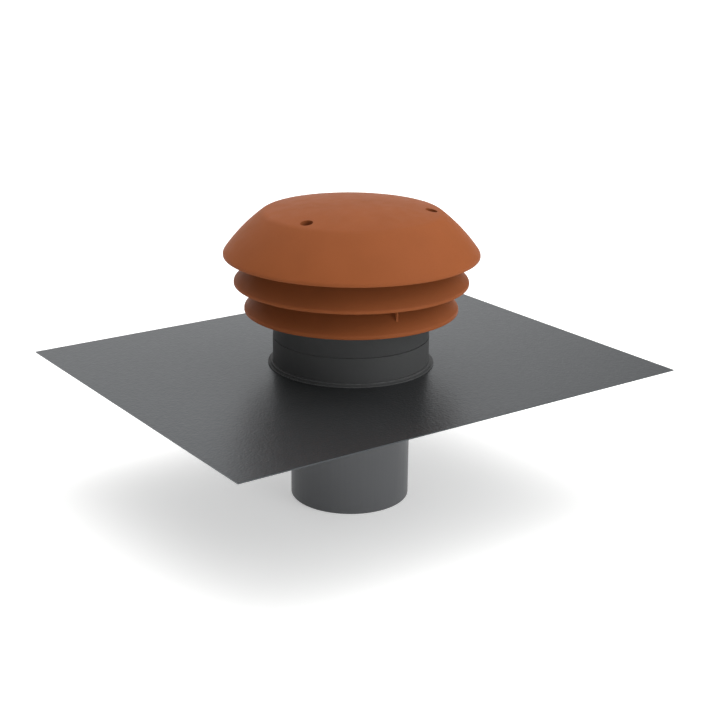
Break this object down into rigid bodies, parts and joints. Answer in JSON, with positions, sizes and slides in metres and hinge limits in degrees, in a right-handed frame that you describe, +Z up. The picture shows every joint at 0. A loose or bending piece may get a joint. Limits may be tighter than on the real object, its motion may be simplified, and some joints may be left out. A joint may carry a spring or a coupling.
{
  "type": "roof vent cap",
  "caption": "Round roof ventilation cap with stacked louvre rings on a collar, a rectangular flashing sheet and a duct spigot below.",
  "frame": {"origin": "centre of the spigot's lower rim, on the surface the part stands on, at the bottom centre of its box", "axes": "+Z up along the spigot's axis, +X along the flashing sheet's long side"},
  "size_m": [0.5, 0.4, 0.3039],
  "materials": {
    "terracotta_plastic": "matt moulded plastic, terracotta",
    "collar_plastic": "matt moulded plastic, dark grey",
    "coated_sheet": "satin dark grey coating on thin embossed aluminium",
    "pipe_plastic": "satin plastic pipe, mid grey"
  },
  "bodies": {
    "root": {"cap_dome": "terracotta_plastic", "upper_louvre_ring": "terracotta_plastic", "lower_louvre_ring": "terracotta_plastic", "collar_sleeve": "collar_plastic", "base_collar": "collar_plastic", "flashing_sheet": "coated_sheet", "spigot_pipe": "pipe_plastic"}
  },
  "joints": []
}
